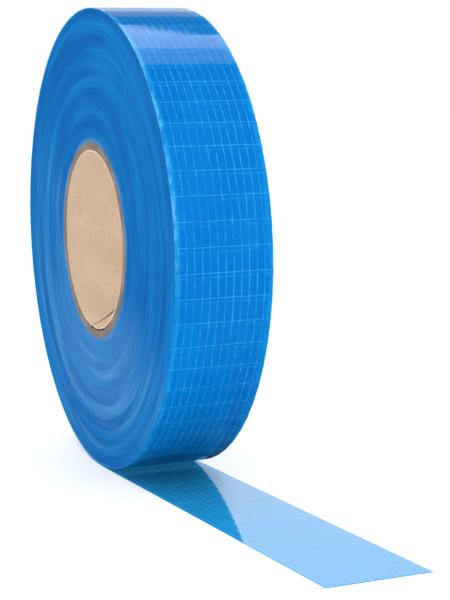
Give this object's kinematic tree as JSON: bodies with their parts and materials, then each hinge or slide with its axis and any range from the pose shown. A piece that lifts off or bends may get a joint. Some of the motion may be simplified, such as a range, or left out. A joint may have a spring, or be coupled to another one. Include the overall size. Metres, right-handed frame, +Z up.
{
  "type": "tape roll",
  "caption": "Wide roll of glossy blue thread-reinforced adhesive tape on a paper core, standing on its tread with its free end laid out flat.",
  "frame": {"origin": "middle of the core's bore, on the roll's axis", "axes": "+Y along the roll's axis, +Z up, +X the way the free end is laid out"},
  "size_m": [0.296, 0.0522, 0.196],
  "materials": {
    "core_liner": "matt kraft paperboard",
    "core_paper": "cut edge of grey-brown paperboard",
    "wound_tape": "slit edges of many turns of blue film tape",
    "film": "glossy see-through blue film",
    "tail_film": "one layer of see-through pale blue film",
    "yarn": "pale laid thread",
    "adhesive": "clear tacky layer"
  },
  "bodies": {
    "tail": {"tail_film": "tail_film", "tail_long_yarns": "yarn", "tail_cross_yarns": "yarn", "tail_adhesive": "adhesive"},
    "roll": {"core_inner_ply": "core_liner", "core_second_ply": "core_paper", "core_third_ply": "core_paper", "core_fourth_ply": "core_paper", "core_fifth_ply": "core_paper", "core_outer_ply": "core_paper", "wound_tape": "wound_tape", "outer_turn_adhesive": "adhesive", "outer_turn_cross_yarns": "yarn", "outer_turn_long_yarns": "yarn", "outer_turn_film": "film"}
  },
  "joints": [
    {"name": "roll_turn", "type": "hinge", "parent": "tail", "child": "roll", "pos_m": [0, 0, 0], "axis": [0, 1, 0], "continuous": true}
  ]
}
